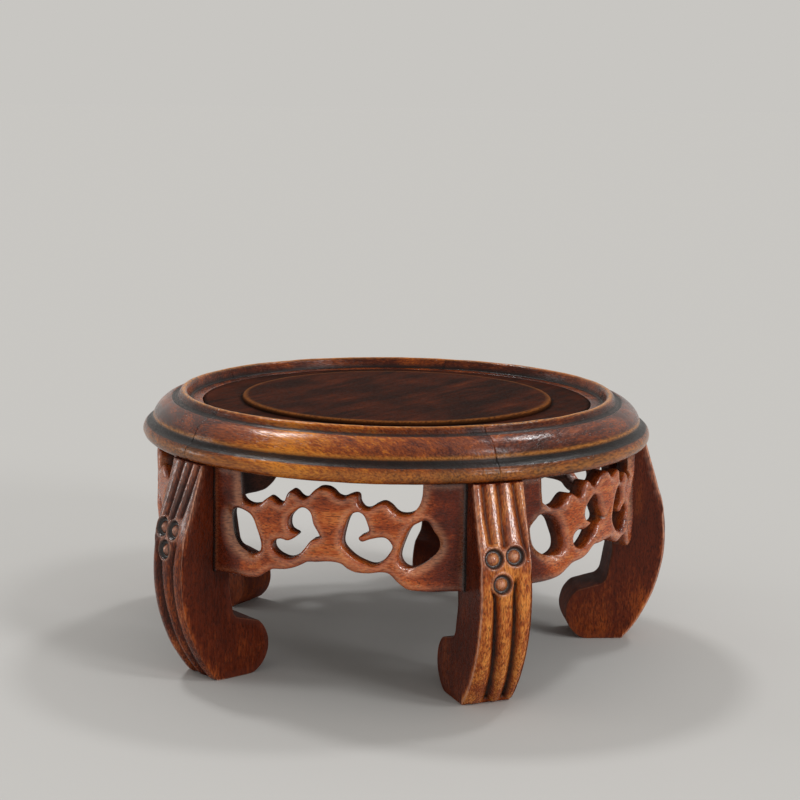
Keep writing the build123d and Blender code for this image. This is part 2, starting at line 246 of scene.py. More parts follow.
def waxed_wood(name, tone_hexes, patina_hex, worn_and_highlight_hex, pore_hex, fleck_share, pore_share, wax_level, wax_roughness):
    """Scraped and waxed hardwood. It reads its board's own coordinates and tone (on the legs partly
    painted shade) from the piece, and where the piece is stained, painted with shade, worn, painted
    with highlights, plain of figure, polished bright by the rag, or left dry because no rag reached it.

    Sizes of the pattern are in millimetres: open pores are short dark dashes along the grain,
    drawn about twice as coarse as they are so that they show; streaks are the growth bands.
    The tones run from the board's darkest fibres to its palest, and the shares say how plainly
    its flecks and pores show.
    """
    pore_length, pore_width = 1.3, 0.3
    fleck_length, fleck_width = 1.9, 0.5
    streak_length, streak_width = 34.0, 2.2
    cloud_length, cloud_width = 16.0, 7.0
    streak_share, cloud_share = 0.7, 1.1
    material = bpy.data.materials.new(name)
    material.use_nodes = True
    tree = material.node_tree
    tree.nodes.clear()
    board = add(tree, "ShaderNodeAttribute", attribute_name="board").outputs["Vector"]
    gold = add(tree, "ShaderNodeAttribute", attribute_name="gold").outputs["Fac"]
    patina = add(tree, "ShaderNodeAttribute", attribute_name="patina").outputs["Fac"]
    wear = add(tree, "ShaderNodeAttribute", attribute_name="wear").outputs["Fac"]
    dry = add(tree, "ShaderNodeAttribute", attribute_name="dry").outputs["Fac"]
    polish = add(tree, "ShaderNodeAttribute", attribute_name="polish").outputs["Fac"]
    plain = add(tree, "ShaderNodeAttribute", attribute_name="plain").outputs["Fac"]
    pattern = {}
    for kind, length, width, detail in (
        ("pore", pore_length, pore_width, 1.0),
        ("fleck", fleck_length, fleck_width, 2.0),
        ("streak", streak_length, streak_width, 4.0),
        ("cloud", cloud_length, cloud_width, 3.0),
    ):
        stretched = add(
            tree, "ShaderNodeMapping", {"Vector": board, "Scale": (1 / length, 1 / width, 1 / width)}
        )
        pattern[kind] = add(
            tree,
            "ShaderNodeTexNoise",
            {"Vector": stretched.outputs[0], "Scale": 1.0, "Detail": detail, "Roughness": 0.55},
        ).outputs["Fac"]
    # The board's own tone, moved up and down by the bands, clouds and flecks of its figure
    figure = -(fleck_share + streak_share + cloud_share) / 2
    for kind, share in (("fleck", fleck_share), ("streak", streak_share), ("cloud", cloud_share)):
        figure = add(
            tree, "ShaderNodeMath", {0: pattern[kind], 1: share, 2: figure}, operation="MULTIPLY_ADD"
        ).outputs[0]
    figured = add(tree, "ShaderNodeMath", {0: 1.0, 1: plain}, operation="SUBTRACT")
    tone = add(
        tree, "ShaderNodeMath", {0: figure, 1: figured.outputs[0], 2: gold}, operation="MULTIPLY_ADD"
    ).outputs[0]
    fibres = add(tree, "ShaderNodeValToRGB", {"Fac": tone})
    stops = fibres.color_ramp.elements
    for number, tone_hex in enumerate(tone_hexes):
        place = number / (len(tone_hexes) - 1)
        stop = stops[number] if number < 1 else stops.new(place) if number < len(tone_hexes) - 1 else stops[-1]
        stop.position = place
        stop.color = linear(tone_hex)
    open_pores = add(
        tree, "ShaderNodeMapRange", {"Value": pattern["pore"], "From Min": 0.55, "From Max": 0.64, "To Max": pore_share}
    ).outputs["Result"]
    with_pores = add(
        tree,
        "ShaderNodeMix",
        {"Factor": open_pores, 6: fibres.outputs["Color"], 7: linear(pore_hex)},
        data_type="RGBA",
    )
    # The worn colour also lays painted highlights: on the ring's lip crest, the panel's field edge, the leg arrises,
    # rosettes and reed crests, and the apron rims and bevels.
    rubbed_and_highlit = add(
        tree, "ShaderNodeMapRange", {"Value": pattern["fleck"], "From Min": 0.36, "From Max": 0.6, "To Min": 0.3}
    )
    worn_and_highlit = add(tree, "ShaderNodeMath", {0: wear, 1: rubbed_and_highlit.outputs["Result"]}, operation="MULTIPLY")
    with_wear = add(
        tree,
        "ShaderNodeMix",
        {"Factor": worn_and_highlit.outputs[0], 6: with_pores.outputs[2], 7: linear(worn_and_highlight_hex)},
        data_type="RGBA",
    )
    # Dark wax lies thickest in the recesses, and breaks up over the flecks. The same dark mix lays
    # painted shade on the ring's outer lip flank, round the foot of the panel's raised field and on the
    # middle of the legs' sides.
    broken = add(
        tree, "ShaderNodeMath", {0: pattern["fleck"], 1: 0.6, 2: patina}, operation="MULTIPLY_ADD"
    )
    stain_and_shade = add(
        tree,
        "ShaderNodeMapRange",
        {"Value": broken.outputs[0], "From Min": 0.5, "From Max": 1.1, "To Max": 0.95},
    ).outputs["Result"]
    colour = add(
        tree, "ShaderNodeMix", {"Factor": stain_and_shade, 6: with_wear.outputs[2], 7: linear(patina_hex)}, data_type="RGBA"
    )
    uneven_wax = add(
        tree,
        "ShaderNodeMapRange",
        {
            "Value": pattern["fleck"],
            "From Min": 0.3,
            "From Max": 0.7,
            "To Min": wax_roughness - 0.08,
            "To Max": wax_roughness + 0.08,
        },
    )
    stained_and_shaded = add(
        tree, "ShaderNodeMath", {0: stain_and_shade, 1: 0.16, 2: uneven_wax.outputs["Result"]}, operation="MULTIPLY_ADD"
    )
    smoothed = add(
        tree, "ShaderNodeMath", {0: polish, 1: -0.09, 2: stained_and_shaded.outputs[0]}, operation="MULTIPLY_ADD"
    )
    rough = add(
        tree, "ShaderNodeMath", {0: dry, 1: 0.4, 2: smoothed.outputs[0]}, operation="MULTIPLY_ADD", use_clamp=True
    )
    shine = add(tree, "ShaderNodeMath", {0: polish, 1: 0.55, 2: wax_level}, operation="MULTIPLY_ADD")
    height = add(
        tree, "ShaderNodeMath", {0: open_pores, 1: -0.8, 2: pattern["fleck"]}, operation="MULTIPLY_ADD"
    )
    relief = add(
        tree, "ShaderNodeBump", {"Height": height.outputs[0], "Strength": 0.7, "Distance": 0.09 * mm}
    )
    wax = add(
        tree,
        "ShaderNodeBsdfPrincipled",
        {
            "Base Color": colour.outputs[2],
            "Roughness": rough.outputs[0],
            "Normal": relief.outputs[0],
            "IOR": 1.5,
            "Specular IOR Level": shine.outputs[0],
        },
    )
    add(tree, "ShaderNodeOutputMaterial", {"Surface": wax.outputs[0]})
    return material


ring_profile = ease(
    [(ring_bore, ring_base), (bead_axis, ring_base)]
    + arc((bead_axis, ring_base), (bead_nose, bead_height), quirk)
    + bulge(quirk, cove_top, 0.25)
    + bulge(cove_top, shoulder_top, -0.8)
    + [shoulder_top]
    + bulge(lip_foot, lip_out, 0.3)
    + arc(lip_out, lip_crest, lip_in)
    + [lip_in, dish_corner, (ring_bore, land), (ring_bore, groove_high), (groove_floor, groove_high)]
    + [(groove_floor, groove_low), (ring_bore, groove_low)],
    profile_step,
    profile_ease,
)
ring_normal = outward(ring_profile)
# Dark wax lies in the quirk, both coves, under the lip and in the dish corner. The lip's outer flank is darkened as
# painted shade, and the underside is painted darker.
ring_patina = np.clip(
    1.1 * near(ring_profile, quirk, 0.5)
    + 1.0 * near(ring_profile, (72.6, ring_base + 5.6), 0.8)
    + 1.0 * near(ring_profile, lip_foot, 0.4)
    + 0.9 * near(ring_profile, (65.3, ring_top - 1.8), 0.45)
    + 0.45 * near(ring_profile, (64.5, ring_top - 1.0), 0.4)
    + 0.8 * near(ring_profile, dish_corner, 1.0)
    + 0.5 * (ring_profile[:, 1] < ring_base + 0.4),
    0,
    1,
)
# A painted highlight runs along the lip's crest; the bead's nose and the top edge of the cove are lighter with wear.
ring_wear = np.clip(
    0.95 * near(ring_profile, lip_crest, 0.45)
    + 0.45 * near(ring_profile, (bead_nose, bead_height), 1.1)
    + 0.75 * near(ring_profile, cove_top, 0.45),
    0,
    1,
)
ring_polish = np.clip(
    0.45 * near(ring_profile, (70.4, ring_top - 3.6), 1.9) + 0.4 * near(ring_profile, (bead_nose, bead_height), 1.2), 0, 1
)
ring_wood = waxed_wood(
    "waxed_brown_rosewood",
    ("#240c04", "#4f1c07", "#8d400f", "#d07c20"),
    patina_hex="#0d0c0c",
    worn_and_highlight_hex="#cd8432",
    pore_hex="#2a0e05",
    fleck_share=0.75,
    pore_share=0.5,
    wax_level=0.2,
    wax_roughness=0.21,
)
for place in range(leg_count):
    middle = (place + 0.5) * leg_pitch
    reach = leg_pitch / 2 - joint_gap / ring_bore
    ends = np.array([0, 0.08, 0.2, 0.35, joint_ease]) / bead_nose
    count = int(2 * reach * bead_nose / along_step)
    across = np.linspace(-reach + ends[-1], reach - ends[-1], count)
    across = np.concatenate([-reach + ends[:-1], across, reach - ends[-2::-1]])
    from_end = (reach - np.abs(across)) * bead_nose
    eased = joint_ease_depth * np.clip(1 - from_end / joint_ease, 0, 1) ** 2
    rows, cols = len(across), len(ring_profile)
    flat = np.column_stack(
        [
            np.repeat(across * 70.0, cols),
            np.tile(ring_profile[:, 0], rows),
            np.tile(ring_profile[:, 1], rows),
        ]
    )
    lift = 0.1 * uneven(flat, 11.0, place + 1) + 0.045 * uneven(flat, 3.2, place + 8)
    lift -= np.repeat(eased, cols)
    radius = np.tile(ring_profile[:, 0], rows) + lift * np.tile(ring_normal[:, 0], rows)
    level_z = np.tile(ring_profile[:, 1], rows) + lift * np.tile(ring_normal[:, 1], rows)
    turn = np.repeat(across, cols)
    points = np.column_stack(
        [radius * np.sin(turn + middle), -radius * np.cos(turn + middle), level_z]
    )
    skew = math.radians(segment_skew[place])
    along, out = radius * np.sin(turn), radius * np.cos(turn)
    board = np.column_stack(
        [
            along * math.cos(skew) + (level_z * 1.4 + out * 0.6) * math.sin(skew) + 211.0 * place,
            out - along * math.sin(skew),
            level_z,
        ]
    )
    faces = [
        (row * cols + col, row * cols + (col + 1) % cols, (row + 1) * cols + (col + 1) % cols, (row + 1) * cols + col)
        for row in range(rows - 1)
        for col in range(cols)
    ]
    faces = [face[::-1] for face in faces]
    faces.append(tuple(range(cols)))
    faces.append(tuple(reversed(range((rows - 1) * cols, rows * cols))))
    at_joint = np.exp(-((from_end / 0.18) ** 2))
    make_piece(
        f"ring_segment_{place + 1}_carved",
        points,
        faces,
        ring_wood,
        "ring_wood",
        [f"ring_segment_{place + 1}"],
        board=board,
        gold=np.interp(turn, (-reach, -0.3 * reach, reach), segment_gold[place]),
        patina=np.clip(np.tile(ring_patina, rows) + 0.25 * np.repeat(at_joint, cols), 0, 1),
        wear=np.tile(ring_wear, rows),
        polish=np.tile(ring_polish, rows),
        dry=np.tile((ring_profile[:, 1] < ring_base + 0.2).astype(float), rows),
    )

# Centre panel. One round board, turned with a sunk margin and a raised round field, and slid
# into the groove of the ring as the ring was glued up, so that it can swell and shrink.
panel_profile_step = 0.4
panel_turns = 300
panel_edge, tongue_edge = ring_bore - 0.1, groove_floor - 0.2
field_radius, field_top = 46.0, land + 1.25
panel_grain_turn = math.radians(35)
panel_outline = [
    (0.0, field_top),
    *[(r, field_top) for r in np.arange(1.0, field_radius - 1.0, 1.0)],
    *arc((field_radius - 1.0, field_top), (field_radius - 0.25, field_top - 0.35), (field_radius, land + 0.15), 8),
    (field_radius, land + 0.05),
    (field_radius + 0.25, land),
    *[(r, land) for r in np.arange(field_radius + 1.0, panel_edge - 0.5, 0.9)],
    (panel_edge - 0.25, land),
    (panel_edge, land - 0.2),
    (panel_edge, groove_high - 0.2),
    (tongue_edge, groove_high - 0.2),
    (tongue_edge, groove_low),
    (panel_edge, groove_low),
    (panel_edge, panel_base + 0.2),
    (panel_edge - 0.2, panel_base),
    *[(r, panel_base) for r in np.arange(panel_edge - 1.5, 1.0, -1.5)],
    (0.0, panel_base),
]
panel_profile = np.array(panel_outline)
rows, cols = panel_turns, len(panel_profile)
turn = np.repeat(np.linspace(0, math.tau, rows, endpoint=False), cols)
radius, level_z = np.tile(panel_profile[:, 0], rows), np.tile(panel_profile[:, 1], rows)
points = np.column_stack([radius * np.sin(turn), -radius * np.cos(turn), level_z])
points[:, 2] += 0.07 * uneven(points, 14.0, 31) * (radius > 0)
board = np.column_stack(
    [
        points[:, 0] * math.cos(panel_grain_turn) + points[:, 1] * math.sin(panel_grain_turn) + 1300.0,
        points[:, 1] * math.cos(panel_grain_turn) - points[:, 0] * math.sin(panel_grain_turn),
        points[:, 2],
    ]
)
faces = []
for row in range(rows):
    here, there = row * cols, ((row + 1) % rows) * cols
    faces.append((0, here + 1, there + 1))
    faces += [(here + c, here + c + 1, there + c + 1, there + c) for c in range(1, cols - 2)]
    faces.append((here + cols - 2, cols - 1, there + cols - 2))
used = np.ones(rows * cols, bool)
used[cols::cols] = False
used[2 * cols - 1 :: cols] = False
renumber = np.cumsum(used) - 1
faces = [tuple(int(renumber[i]) for i in face) for face in faces]
rim_gap = np.abs(radius - panel_edge)
# A dark line where the panel meets the ring, painted shade in a ring round the foot of the raised field, and a darker
# underside.
panel_patina = np.clip(
    0.75 * np.exp(-((rim_gap / 0.7) ** 2))
    + 0.7 * np.exp(-(((radius - field_radius - 0.3) / 0.7) ** 2)) * (level_z < field_top - 0.2)
    + 0.4 * (level_z < panel_base + 0.5),
    0,
    1,
)
# Painted highlight: a lighter ring along the rounded top edge of the raised field.
panel_wear = 0.7 * np.exp(-(((radius - field_radius + 0.7) / 0.7) ** 2)) * (level_z > land + 0.3)
# The panel's tones are set darker than its wood is, as painted shade over the dish.
panel_wood = waxed_wood(
    "waxed_rosewood_with_painted_shade",
    ("#110502", "#260c03", "#441a08", "#642e10"),
    patina_hex="#0d0a08",
    worn_and_highlight_hex="#8e5526",
    pore_hex="#100502",
    fleck_share=0.5,
    pore_share=0.5,
    wax_level=0.02,
    wax_roughness=0.62,
)
make_piece(
    "centre_panel_turned",
    points[used],
    faces,
    panel_wood,
    "panel_wood",
    ["centre_panel"],
    board=board[used],
    gold=np.full(int(used.sum()), 0.45),
    patina=panel_patina[used],
    wear=panel_wear[used],
    dry=(level_z[used] < panel_base + 0.5).astype(float),
)

# Legs. Sawn to a bowed side profile from thick stock, then carved by hand: rounded reeds on the
# front, three punched rosettes, and a scrolled foot that curls inwards. Sides are only scraped.
leg_width = 14.5
leg_arris = 0.45
leg_step, leg_ease = 0.25, 0.42
leg_head, leg_knee, leg_belly, sole_front = (74.0, ring_base), (79.4, 44.5), (80.3, 21.0), (69.7, 0.0)
sole_back, curl_middle, curl_top = (57.0, 0.0), (51.6, 7.6), (55.1, 15.2)
neck_in, neck_middle, neck_out = (60.9, 16.86), (62.9, 17.7), (63.95, 19.9)
shank, leg_head_back = (65.2, 27.0), (62.5, ring_base)
leg_toe = [(70.05, 0.55), (69.6, 0.16), (68.9, 0.0)]
# Carving of each front, as it was cut by eye: (down the front, across) along each groove between
# the upper reeds and between the lower reeds, then the middle of each rosette
leg_carving = (
    (
        ([(0, -4.35), (8.3, -4.3), (17, -3.6)], [(0, -0.05), (8.3, 0.1), (18, 0.3)], [(0, 4.3), (8.3, 4.85), (15, 5.55), (21, 6.3)]),
        ([(24, -4.6), (30.5, -3.15), (42, -2.55), (60, -0.7), (66, -0.1)], [(24, 2.9), (30.5, 2.5), (42, 3.0), (60, 4.45), (66, 4.9)]),
        ((19.7, -3.4), (19.4, 2.65), (26.6, -1.4)),
    ),
    (
        ([(0, -3.9), (9, -3.8), (17, -3.5)], [(0, 0.2), (9, 0.0), (18, -0.1)], [(0, 4.1), (9, 4.3), (17, 4.0)]),
        ([(25, -3.9), (31, -2.6), (45, -2.2), (66, -1.9)], [(25, 3.8), (31, 2.7), (45, 2.6), (66, 2.9)]),
        ((19.4, -3.2), (19.2, 2.9), (26.0, 0.2)),
    ),
    (
        ([(0, -3.6), (9, -3.9), (17, -3.3)], [(0, 0.3), (9, 0.2), (18, 0.1)], [(0, 4.3), (9, 4.1), (17, 3.9)]),
        ([(25, -4.0), (31, -2.9), (45, -2.4), (66, -2.2)], [(25, 3.3), (31, 2.3), (45, 2.3), (66, 2.6)]),
        ((19.1, -3.0), (19.6, 3.1), (25.8, -0.4)),
    ),
    (
        ([(0, -4.1), (9, -3.7), (17, -3.4)], [(0, -0.2), (9, 0.1), (18, 0.0)], [(0, 3.8), (9, 4.2), (17, 4.1)]),
        ([(25, -3.7), (31, -2.5), (45, -2.5), (66, -2.0)], [(25, 3.9), (31, 2.6), (45, 2.9), (66, 3.2)]),
        ((19.6, -3.1), (19.1, 2.8), (26.3, 0.1)),
    ),
    (
        ([(0, -2.6), (11, -3.4), (17, -3.9)], [(0, 1.5), (11, 0.1), (17.5, -1.2)], [(0, 5.2), (11, 3.8), (16, 2.8)]),
        ([(23, -4.6), (30, -3.3), (45, -2.6), (66, -2.2)], [(21, 3.6), (30, 2.2), (45, 2.3), (66, 2.6)]),
        ((19.05, -4.05), (19.1, 1.3), (25.0, -1.45)),
    ),
)
# Tone of each leg's front and sides. The sides are darker, partly their duller scraped wood and partly painted shade,
# and leg 5's front is set darker as painted shade.
leg_front_gold_with_painted_shade = (0.7, 0.56, 0.6, 0.54, 0.38)
leg_side_gold_with_painted_shade = (0.26, 0.3, 0.26, 0.28, 0.22)
reeds_end, reeds_start = 19.0, 22.0
groove_widths = [(0, 1.6), (12, 1.7), (18, 1.7), (24, 1.1), (32, 1.6), (45, 2.1), (60, 2.3)]
upper_groove_depth, lower_groove_depth = 0.95, 1.0
upper_crown, lower_crown = 0.3, 0.7
rosette_radius, rosette_rim, boss_radius = 2.85, 3.45, 1.7
rosette_depth, rosette_rim_rise = 1.05, 0.14


def inside(points, loops):
    """Which points lie in a flat shape with holes, by the even-odd rule."""
    odd = np.zeros(len(points), bool)
    for loop in loops:
        for a, b in zip(loop, np.roll(loop, -1, axis=0)):
            crosses = (a[1] > points[:, 1]) != (b[1] > points[:, 1])
            if crosses.any():
                at = a[0] + (points[:, 1] - a[1]) / (b[1] - a[1] + 1e-15) * (b[0] - a[0])
                odd ^= crosses & (points[:, 0] < at)
    return odd


def edge_distance(points, loops):
    """Distance of each point to the nearest edge of a flat shape with holes."""
    starts = np.vstack(loops)
    ends = np.vstack([np.roll(loop, -1, axis=0) for loop in loops])
    run = ends - starts
    length2 = np.sum(run**2, axis=1) + 1e-15
    nearest = []
    for chunk in np.array_split(points, max(1, len(points) // 500)):
        gap = chunk[:, None, :] - starts[None]
        share = np.clip(np.sum(gap * run[None], axis=2) / length2, 0, 1)
        nearest.append(np.sqrt(np.min(np.sum((gap - share[..., None] * run) ** 2, axis=2), axis=1)))
    return np.concatenate(nearest)


def fill(loops, inner):
    """Triangles of a flat shape with holes, numbered over its loops and then its inner points."""
    edges, start = [], 0
    for loop in loops:
        edges += [(start + i, start + (i + 1) % len(loop)) for i in range(len(loop))]
        start += len(loop)
    flat = np.vstack([*loops, inner])
    made = delaunay_2d_cdt([Vector(p) for p in flat], edges, [], 0, 1e-7)
    if len(made[0]) != len(flat):
        raise ValueError("an outline crosses itself")
    triangles = np.array(made[2])
    return triangles[inside(flat[triangles].mean(axis=1), loops)]


def grid(loops, step):
    """Even points over a flat shape's box."""
    low, high = np.vstack(loops).min(axis=0), np.vstack(loops).max(axis=0)
    x, y = np.meshgrid(np.arange(low[0], high[0], step), np.arange(low[1], high[1], step))
    x[1::2] += step / 2
    return np.column_stack([x.ravel(), y.ravel()])


leg_outline = ease(
    [leg_head]
    + [leg_knee]
    + arc(leg_knee, leg_belly, sole_front, 60)[:-1]
    + leg_toe
    + arc(sole_back, curl_middle, curl_top, 40)
    + [curl_top]
    + arc(neck_in, neck_middle, neck_out, 16)
    + [neck_out, shank, leg_head_back],
    leg_step,
    leg_ease,
)
leg_normal = outward(leg_outline)
step_run = np.hypot(*np.diff(np.vstack([leg_outline, leg_outline[:1]]), axis=0).T)
leg_run = np.concatenate([[0], np.cumsum(step_run)[:-1]])
front_end = leg_run[np.argmin(np.hypot(*(leg_outline - np.array(sole_front)).T))]
on_front = (1 - smooth_step(leg_run, front_end - 0.1, front_end + 0.7)) * smooth_step(leg_run, 0.0, 0.15)
half_leg = leg_width / 2
arris_turn = np.linspace(0, math.pi / 2, 6)
arris_v = half_leg - leg_arris + leg_arris * np.sin(arris_turn)
arris_drop = leg_arris * (1 - np.cos(arris_turn))
flat_v = np.linspace(-half_leg + leg_arris, half_leg - leg_arris, 62)[1:-1]
leg_v = np.concatenate([-arris_v[::-1], flat_v, arris_v])
leg_drop = np.concatenate([arris_drop[::-1], np.zeros(len(flat_v)), arris_drop])
leg_edge = np.concatenate([np.sin(2 * arris_turn[::-1]), np.zeros(len(flat_v)), np.sin(2 * arris_turn)])
# The arris fades out at the head, which is cut square to fit under the ring
arris_share = 1 - smooth_step(leg_outline[:, 1], ring_base - 2.3, ring_base - 0.5)


def front_relief(run, across, upper_grooves, lower_grooves, rosettes):
    """A leg front's carving, at a distance down it and a place across it.

    It gives the depth cut into the front, how much dark wax has stayed there (0 to 1), how far
    the spot is on a rosette's rubbed boss and rim, which also take a painted highlight, and how
    brightly it is polished, which also lays a pinkish painted sheen on the upper reed crests.
    """
    depth = np.zeros(np.broadcast(run, across).shape)
    wax = np.zeros(depth.shape)
    half_width = np.interp(run, *zip(*groove_widths))
    for grooves, crown, cut_depth, upper in (
        (upper_grooves, upper_crown, upper_groove_depth, True),
        (lower_grooves, lower_crown, lower_groove_depth, False),
    ):
        reeds = 1 - smooth_step(run, reeds_end - 3, reeds_end) if upper else smooth_step(run, reeds_start, reeds_start + 3)
        lines = [np.interp(run, *zip(*line)) for line in grooves]
        for low, high in zip([-half_leg + 0 * run] + lines, lines + [half_leg + 0 * run]):
            share = (across - low) / (high - low)
            depth += np.where((share >= 0) & (share < 1), reeds * crown * (2 * share - 1) ** 2, 0)
        for line, groove in zip(lines, grooves):
            first, last = groove[0][0], groove[-1][0]
            here = 1 - smooth_step(run, last - 1.5, last) if upper else smooth_step(run, first, first + 3)
            share = here * (0.5 + 0.5 * np.cos(math.pi * np.clip(np.abs(across - line) / half_width, 0, 1)))
            depth += cut_depth * share
            wax = np.maximum(wax, (0.62 if upper else 0.8) * share ** (2.6 if upper else 1.7))
    polish = (1 - smooth_step(run, 14, 23)) * (1 - smooth_step(depth, 0.3, 0.7)) + 0.12
    boss = np.zeros(depth.shape)
    for down, middle in rosettes:
        gap = np.hypot(across - middle, run - down)
        dome = rosette_depth * np.clip(gap / boss_radius, 0, 1) ** 2
        wall = rosette_depth * (1 - smooth_step(gap, 2.1, rosette_radius))
        rim = rosette_rim_rise * np.exp(-(((gap - 3.05) / 0.3) ** 2))
        clear = 1 - smooth_step(gap, rosette_radius, rosette_rim)
        depth = depth * (1 - clear) + np.where(gap < boss_radius, dome, wall) - rim
        ring_wax = np.exp(-(((gap - 2.2) / 0.62) ** 2))
        wax = np.maximum(wax * (1 - clear), 0.95 * ring_wax)
        polish = np.maximum(polish, 0.9 * clear)
        boss = np.maximum(boss, np.exp(-((gap / 1.1) ** 2)) + 0.5 * np.exp(-(((gap - 3.1) / 0.3) ** 2)))
    return depth, wax, boss, polish


leg_wood = waxed_wood(
    "waxed_carved_rosewood",
    ("#330f07", "#5e220c", "#a34d1a", "#df8c3e"),
    patina_hex="#0f0d0d",
    # The worn colour is pinkish, so that it also paints the sheen on the reed crests.
    worn_and_highlight_hex="#d2977a",
    pore_hex="#2a0d05",
    fleck_share=1.0,
    pore_share=0.6,
    wax_level=0.2,
    wax_roughness=0.27,
)
side_loop_drop = leg_outline - leg_arris * arris_share[:, None] * leg_normal
side_inner = grid([side_loop_drop], 1.0)
side_inner = side_inner[inside(side_inner, [side_loop_drop])]
side_inner = side_inner[edge_distance(side_inner, [side_loop_drop]) > 1.2]
side_faces = fill([side_loop_drop], side_inner)
for place in range(leg_count):
    turn = place * leg_pitch
    rows, cols = len(leg_outline), len(leg_v)
    run, across = leg_run[:, None], leg_v[None, :]
    depth, wax, boss, polish = [on_front[:, None] * field for field in front_relief(run, across, *leg_carving[place])]
    flat = np.column_stack([np.repeat(leg_outline, cols, axis=0), np.tile(leg_v, rows)])
    wobble = (0.1 * uneven(flat, 9.0, place + 41) + 0.05 * uneven(flat, 2.8, place + 47)).reshape(rows, cols)
    sunk = arris_share[:, None] * leg_drop[None, :] + depth - wobble * (1 - smooth_step(leg_outline[:, 1], 58, 61))[:, None]
    out = leg_outline[:, 0:1] - leg_normal[:, 0:1] * sunk
    up = np.clip(leg_outline[:, 1:2] - leg_normal[:, 1:2] * sunk, 0, None)
    skin = np.column_stack([out.ravel(), np.tile(leg_v, rows), up.ravel()])
    faces = [
        (r * cols + c, r * cols + c + 1, (r + 1) % rows * cols + c + 1, (r + 1) % rows * cols + c)
        for r in range(rows)
        for c in range(cols - 1)
    ]
    sides = []
    for side, rim_col in ((-1, 0), (1, cols - 1)):
        start = rows * cols + len(sides) * len(side_inner)
        number = np.concatenate([np.arange(rows) * cols + rim_col, start + np.arange(len(side_inner))])
        ring = [tuple(int(i) for i in number[t]) for t in side_faces]
        faces += [face if side < 0 else face[::-1] for face in ring]
        bow = 0.12 * uneven(np.column_stack([side_inner, np.full(len(side_inner), side)]), 12.0, place + 53)
        sides.append(np.column_stack([side_inner[:, 0], side * (half_leg + bow * 0.6 - 0.02), side_inner[:, 1]]))
    local = np.vstack([skin, *sides])
    outward_x, outward_y = math.sin(turn), -math.cos(turn)
    points = np.column_stack(
        [
            local[:, 0] * outward_x + local[:, 1] * math.cos(turn),
            local[:, 0] * outward_y + local[:, 1] * math.sin(turn),
            local[:, 2],
        ]
    )
    off_skin = np.zeros(len(local) - rows * cols)
    on_skin = np.concatenate([np.repeat(on_front, cols), off_skin])
    shade = np.exp(-(((local[:, 2] - 38) / 14) ** 2)) * (1 - on_skin)
    in_groove = np.concatenate([wax.ravel(), off_skin])
    edge = np.concatenate([np.tile(leg_edge, rows), off_skin])
    rubbed_and_highlit = np.concatenate([boss.ravel(), off_skin])
    handled_and_sheen = np.concatenate([polish.ravel(), off_skin])
    facing_in = np.concatenate([np.repeat(leg_run > front_end + 3, cols).astype(float), off_skin])
    board = np.column_stack([local[:, 2], local[:, 0], local[:, 1]]) + np.array([700.0 + 90.0 * place, 0, 13.0 * place])
    make_piece(
        f"leg_{place + 1}_carved",
        points,
        faces,
        leg_wood,
        "leg_wood",
        [f"leg_{place + 1}"],
        board=board,
        # Tone: the sides and leg 5's front darker as painted shade, the foot a little lighter, and the grooves darkened
        # further as painted shade on top of their dark wax.
        gold=leg_side_gold_with_painted_shade[place]
        + (leg_front_gold_with_painted_shade[place] - leg_side_gold_with_painted_shade[place]) * on_skin
        + 0.1 * (1 - smooth_step(local[:, 2], 8, 20))
        - 0.25 * in_groove,
        patina=np.clip(in_groove + 0.3 * shade, 0, 1),
        # Worn arrises and rosettes, with painted highlights: a golden line down each arris, bright bosses and rims, and
        # a pinkish sheen on the upper reed crests.
        wear=np.clip(0.8 * edge * (1 - 0.8 * facing_in) + 0.7 * rubbed_and_highlit + 0.14 * handled_and_sheen * (1 - in_groove), 0, 1),
        polish=np.clip(handled_and_sheen + 0.7 * edge * (1 - facing_in), 0, 1),
        plain=0.55 * (1 - on_skin),
        dry=facing_in,
    )

# Aprons. Thin curved boards let into the legs, pierced with a fretsaw, then rounded over round
# every opening with a knife. The middle is rubbed red and bright, the flat ends are dark.
apron_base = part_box("apron_1")[0].z / mm
apron_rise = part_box("apron_1")[1].z / mm - apron_base
apron_outer, apron_inner = 71.0, 66.0
apron_end, apron_end_back = 35.65, 32.69
fret_half = 29.15
apron_roll, apron_roll_depth, apron_back_roll = 1.9, 1.35, 0.5
leaf_bevel_width, leaf_bevel_depth = 3.2, 2.2
wall_bevel_width, wall_bevel_depth = 3.0, 1.9
outline_step, outline_ease = 0.34, 0.26
# Left and right of each board differ, as the fret was drawn on it by hand. The next board has
# the same drawing, turned over.
left_leaf = [(-28.3, 19.0), (-25.6, 18.9), (-22.8, 17.4), (-20.9, 14.1), (-19.8, 10.6), (-20.2, 8.2)]
left_leaf += [(-22.8, 7.0), (-25.7, 7.7), (-28.1, 9.6), (-29.4, 12.8), (-29.6, 16.6)]
right_leaf = [(25.5, 19.5), (23.6, 18.9), (21.8, 17.8), (20.3, 15.8), (19.2, 12.9), (18.7, 9.6)]
right_leaf += [(19.6, 7.4), (21.6, 6.6), (24.2, 7.5), (26.6, 9.4), (28.3, 11.8), (28.4, 14.0), (27.2, 16.6)]
left_comma = [(-10.8, 19.2), (-7.8, 21.6), (-5.4, 20.7), (-4.3, 17.6), (-2.5, 14.3), (-5.0, 12.9)]
left_comma += [(-6.8, 10.7), (-8.8, 8.8), (-11.2, 7.5), (-13.8, 7.9), (-15.7, 9.1), (-16.2, 10.7)]
left_comma += [(-15.4, 12.0), (-13.6, 12.7), (-11.4, 12.5), (-8.6, 14.1), (-10.8, 15.3), (-11.4, 17.0)]
right_comma = [(5.1, 19.7), (7.4, 21.4), (9.3, 20.6), (10.5, 18.0), (10.7, 16.6), (9.6, 15.6), (8.1, 14.7)]
